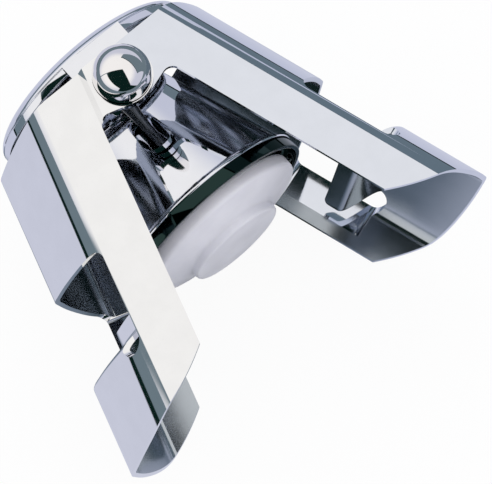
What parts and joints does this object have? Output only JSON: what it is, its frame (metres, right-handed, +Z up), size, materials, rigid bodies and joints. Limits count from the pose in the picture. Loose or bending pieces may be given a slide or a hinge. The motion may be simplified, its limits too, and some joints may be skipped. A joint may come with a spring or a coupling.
{
  "type": "sparkling wine bottle stopper",
  "caption": "Lever stopper for sparkling-wine bottles: hinged wings on a ball-headed pin, a domed cap and a sprung plastic seal in a conical bell.",
  "frame": {"origin": "centre of the bounding box in plan, at the height of the lowest point, with the stopper lying on its back", "axes": "+Z up along the pivot pin, +Y along the body's axis towards the domed cap, +X across the spread wings"},
  "size_m": [0.0712, 0.0548, 0.0504],
  "materials": {
    "cap": "mirror-bright chrome plate",
    "bell": "mirror-bright chrome plate",
    "left_wing": "mirror-bright chrome plate",
    "right_wing": "mirror-bright chrome plate",
    "front_ball_head": "mirror-bright chrome plate",
    "rear_ball_head": "mirror-bright chrome plate",
    "pivot_pin": "plain steel",
    "plunger_stem": "plain steel",
    "plunger_clip": "plain steel",
    "backing_plate": "plain steel",
    "plunger_spring": "plain steel",
    "spring_seat": "plain steel",
    "seal": "soft white plastic"
  },
  "bodies": {
    "stopper_body": {"cap": "cap", "bell": "bell", "pivot_pin": "pivot_pin", "front_ball_head": "front_ball_head", "rear_ball_head": "rear_ball_head", "spring_seat": "spring_seat"},
    "left_lever": {"left_wing": "left_wing"},
    "right_lever": {"right_wing": "right_wing"},
    "plunger": {"seal": "seal", "backing_plate": "backing_plate", "plunger_stem": "plunger_stem", "plunger_clip": "plunger_clip", "plunger_spring": "plunger_spring"}
  },
  "joints": [
    {"name": "left_wing_hinge", "type": "hinge", "parent": "stopper_body", "child": "left_lever", "pos_m": [0, 0.01609, 0.0252], "axis": [0, 0, 1], "range_deg": [-3.5, 20]},
    {"name": "right_wing_hinge", "type": "hinge", "parent": "stopper_body", "child": "right_lever", "pos_m": [0, 0.01609, 0.0252], "axis": [0, 0, -1], "range_deg": [-3.5, 20]},
    {"name": "seal_slide", "type": "slide", "parent": "stopper_body", "child": "plunger", "axis": [0, 1, 0], "range_m": [0, 0.002], "stiffness_N_per_m": 3000, "springref_m": -0.001, "deforming": ["plunger_spring"]}
  ]
}
